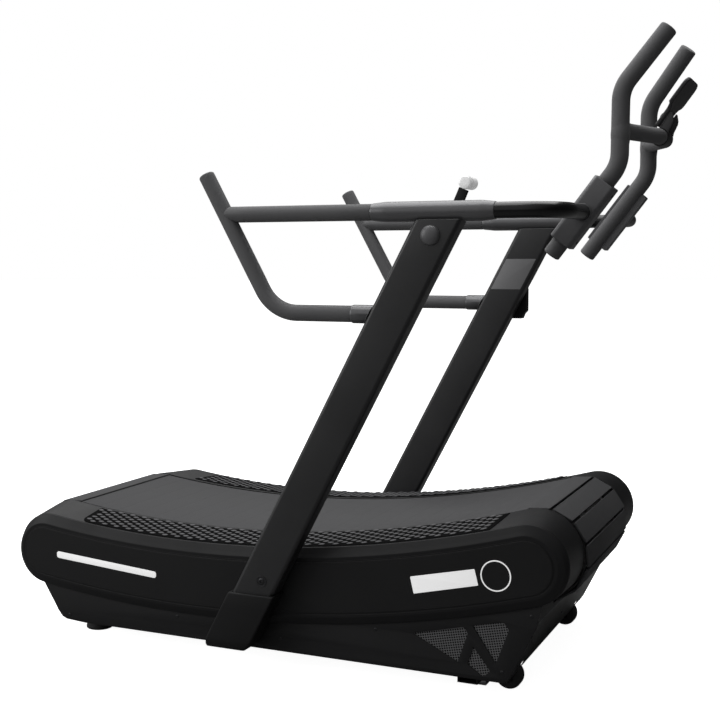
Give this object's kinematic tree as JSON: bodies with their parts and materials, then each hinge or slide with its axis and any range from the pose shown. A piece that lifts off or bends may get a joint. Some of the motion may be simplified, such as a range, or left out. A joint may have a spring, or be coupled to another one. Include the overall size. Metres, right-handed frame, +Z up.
{
  "type": "curved manual treadmill",
  "caption": "Motorless treadmill with a concave slatted belt, leaning uprights, padded side rails, front push handles, resistance lever and tilting console.",
  "frame": {"origin": "on the floor, below the middle of the machine's outline (its bounding box)", "axes": "+X towards the front (handle) end, +Z up, -Y the user's right side"},
  "size_m": [1.787, 0.9438, 1.5738],
  "materials": {
    "frame_black": "fine-texture matt powder coat",
    "upright_black": "satin powder coat",
    "cover_black": "matt moulded plastic, fine grain",
    "plate_black": "flat matt",
    "tread_rubber": "raised lozenge tread",
    "belt_rubber": "fine-grained rubber facing",
    "turned_steel": "turned",
    "drum_alloy": "cast and turned",
    "zinc": "zinc plated",
    "foam": "soft moulded foam grip",
    "satin_grey": "satin grey paint",
    "gloss_black": "gloss black paint",
    "knob_bright": "bright polished",
    "foot_rubber": "black rubber",
    "mesh_sheet": "perforated sheet",
    "console_black": "matt moulded",
    "screen": "dark display window",
    "button": "rubber key"
  },
  "bodies": {
    "chassis": {"base_frame": "frame_black", "front_panel": "frame_black", "rear_panel": "frame_black", "boot_right": "frame_black", "boot_left": "frame_black", "accessory_hook": "frame_black", "upright_right": "upright_black", "upright_left": "upright_black", "side_cover_right": "cover_black", "side_cover_left": "cover_black", "skirt_right": "cover_black", "skirt_left": "cover_black", "pivot_cap": "cover_black", "cover_plate_right": "plate_black", "cover_plate_left": "plate_black", "tread_strip_right": "tread_rubber", "tread_strip_left": "tread_rubber", "upright_bolt_right": "turned_steel", "upright_bolt_left": "turned_steel", "belt_guide_right": "zinc", "belt_guide_left": "zinc", "front_foot_right": "zinc", "front_foot_left": "zinc", "post_grip_right": "foam", "post_grip_left": "foam", "rail_grip_right": "foam", "rail_grip_left": "foam", "handle_right": "foam", "handle_left": "foam", "cross_bar": "foam", "rail_sleeve_right": "satin_grey", "rail_sleeve_left": "satin_grey", "lower_collar_right": "satin_grey", "lower_collar_left": "satin_grey", "handle_clamp_right": "satin_grey", "handle_clamp_left": "satin_grey", "front_tube_right": "gloss_black", "front_tube_left": "gloss_black", "vent_mesh_right": "mesh_sheet", "vent_mesh_left": "mesh_sheet"},
    "front_roller": {"front_drum": "drum_alloy", "belt_front": "belt_rubber", "brake_disc": "turned_steel"},
    "rear_roller": {"rear_drum": "drum_alloy", "belt_rear": "belt_rubber"},
    "belt_top_run": {"belt_upper": "belt_rubber"},
    "belt_return_run": {"belt_lower": "belt_rubber"},
    "resistance_lever": {"lever_arm": "frame_black", "lever_knob": "knob_bright"},
    "brake_magnets": {"magnet_bracket": "zinc"},
    "transport_wheel_right": {"transport_wheel_right": "foot_rubber"},
    "transport_wheel_left": {"transport_wheel_left": "foot_rubber"},
    "rear_foot_right": {"rear_foot_right": "foot_rubber"},
    "rear_foot_left": {"rear_foot_left": "foot_rubber"},
    "console": {"console_housing": "console_black", "console_panel": "console_black", "console_screen": "screen"},
    "console_button_1": {"console_button_1": "button"},
    "console_button_2": {"console_button_2": "button"},
    "console_button_3": {"console_button_3": "button"}
  },
  "joints": [
    {"name": "front_drum_turn", "type": "hinge", "parent": "chassis", "child": "front_roller", "pos_m": [0.58996, -0.0097, 0.3224], "axis": [0, 1, 0], "range_deg": [-15, 15]},
    {"name": "rear_drum_turn", "type": "hinge", "parent": "chassis", "child": "rear_roller", "pos_m": [-0.77804, -0.0097, 0.23118], "axis": [0, 1, 0], "range_deg": [-15.2, 15.2]},
    {"name": "belt_top_travel", "type": "hinge", "parent": "chassis", "child": "belt_top_run", "pos_m": [-0.30664, -0.0097, 3.465], "axis": [0, 1, 0], "range_deg": [-0.56, 0.56]},
    {"name": "belt_return_travel", "type": "hinge", "parent": "chassis", "child": "belt_return_run", "pos_m": [-0.30664, -0.0097, 3.465], "axis": [0, 1, 0], "range_deg": [-0.53, 0.53]},
    {"name": "resistance_lever_pivot", "type": "hinge", "parent": "chassis", "child": "resistance_lever", "pos_m": [0.38596, -0.3897, 1.086], "axis": [0, 1, 0], "range_deg": [-42, 14]},
    {"name": "brake_magnet_pivot", "type": "hinge", "parent": "chassis", "child": "brake_magnets", "pos_m": [0.49096, -0.2867, 0.255], "axis": [0, 1, 0], "range_deg": [-5, 11]},
    {"name": "transport_wheel_right_spin", "type": "hinge", "parent": "chassis", "child": "transport_wheel_right", "pos_m": [0.52796, -0.2867, 0.0342], "axis": [0, 1, 0], "continuous": true},
    {"name": "transport_wheel_left_spin", "type": "hinge", "parent": "chassis", "child": "transport_wheel_left", "pos_m": [0.52796, 0.2673, 0.0342], "axis": [0, 1, 0], "continuous": true},
    {"name": "rear_foot_right_screw", "type": "slide", "parent": "chassis", "child": "rear_foot_right", "axis": [0, 0, -1], "range_m": [0, 0.012]},
    {"name": "rear_foot_left_screw", "type": "slide", "parent": "chassis", "child": "rear_foot_left", "axis": [0, 0, -1], "range_m": [0, 0.012]},
    {"name": "console_tilt", "type": "hinge", "parent": "chassis", "child": "console", "pos_m": [0.81696, -0.0097, 1.327], "axis": [0, 1, 0], "range_deg": [-12, 20]},
    {"name": "console_button_1_press", "type": "slide", "parent": "console", "child": "console_button_1", "axis": [0.8047, 0, -0.5937], "range_m": [0, 0.0018]},
    {"name": "console_button_2_press", "type": "slide", "parent": "console", "child": "console_button_2", "axis": [0.8047, 0, -0.5937], "range_m": [0, 0.0018]},
    {"name": "console_button_3_press", "type": "slide", "parent": "console", "child": "console_button_3", "axis": [0.8047, 0, -0.5937], "range_m": [0, 0.0018]}
  ],
  "couplings": [
    {"joint": "rear_drum_turn", "follows": "front_drum_turn", "ratio": 1},
    {"joint": "belt_top_travel", "follows": "front_drum_turn", "ratio": -0.036145},
    {"joint": "belt_return_travel", "follows": "front_drum_turn", "ratio": 0.033708},
    {"joint": "brake_magnet_pivot", "follows": "resistance_lever_pivot", "ratio": -0.25}
  ]
}
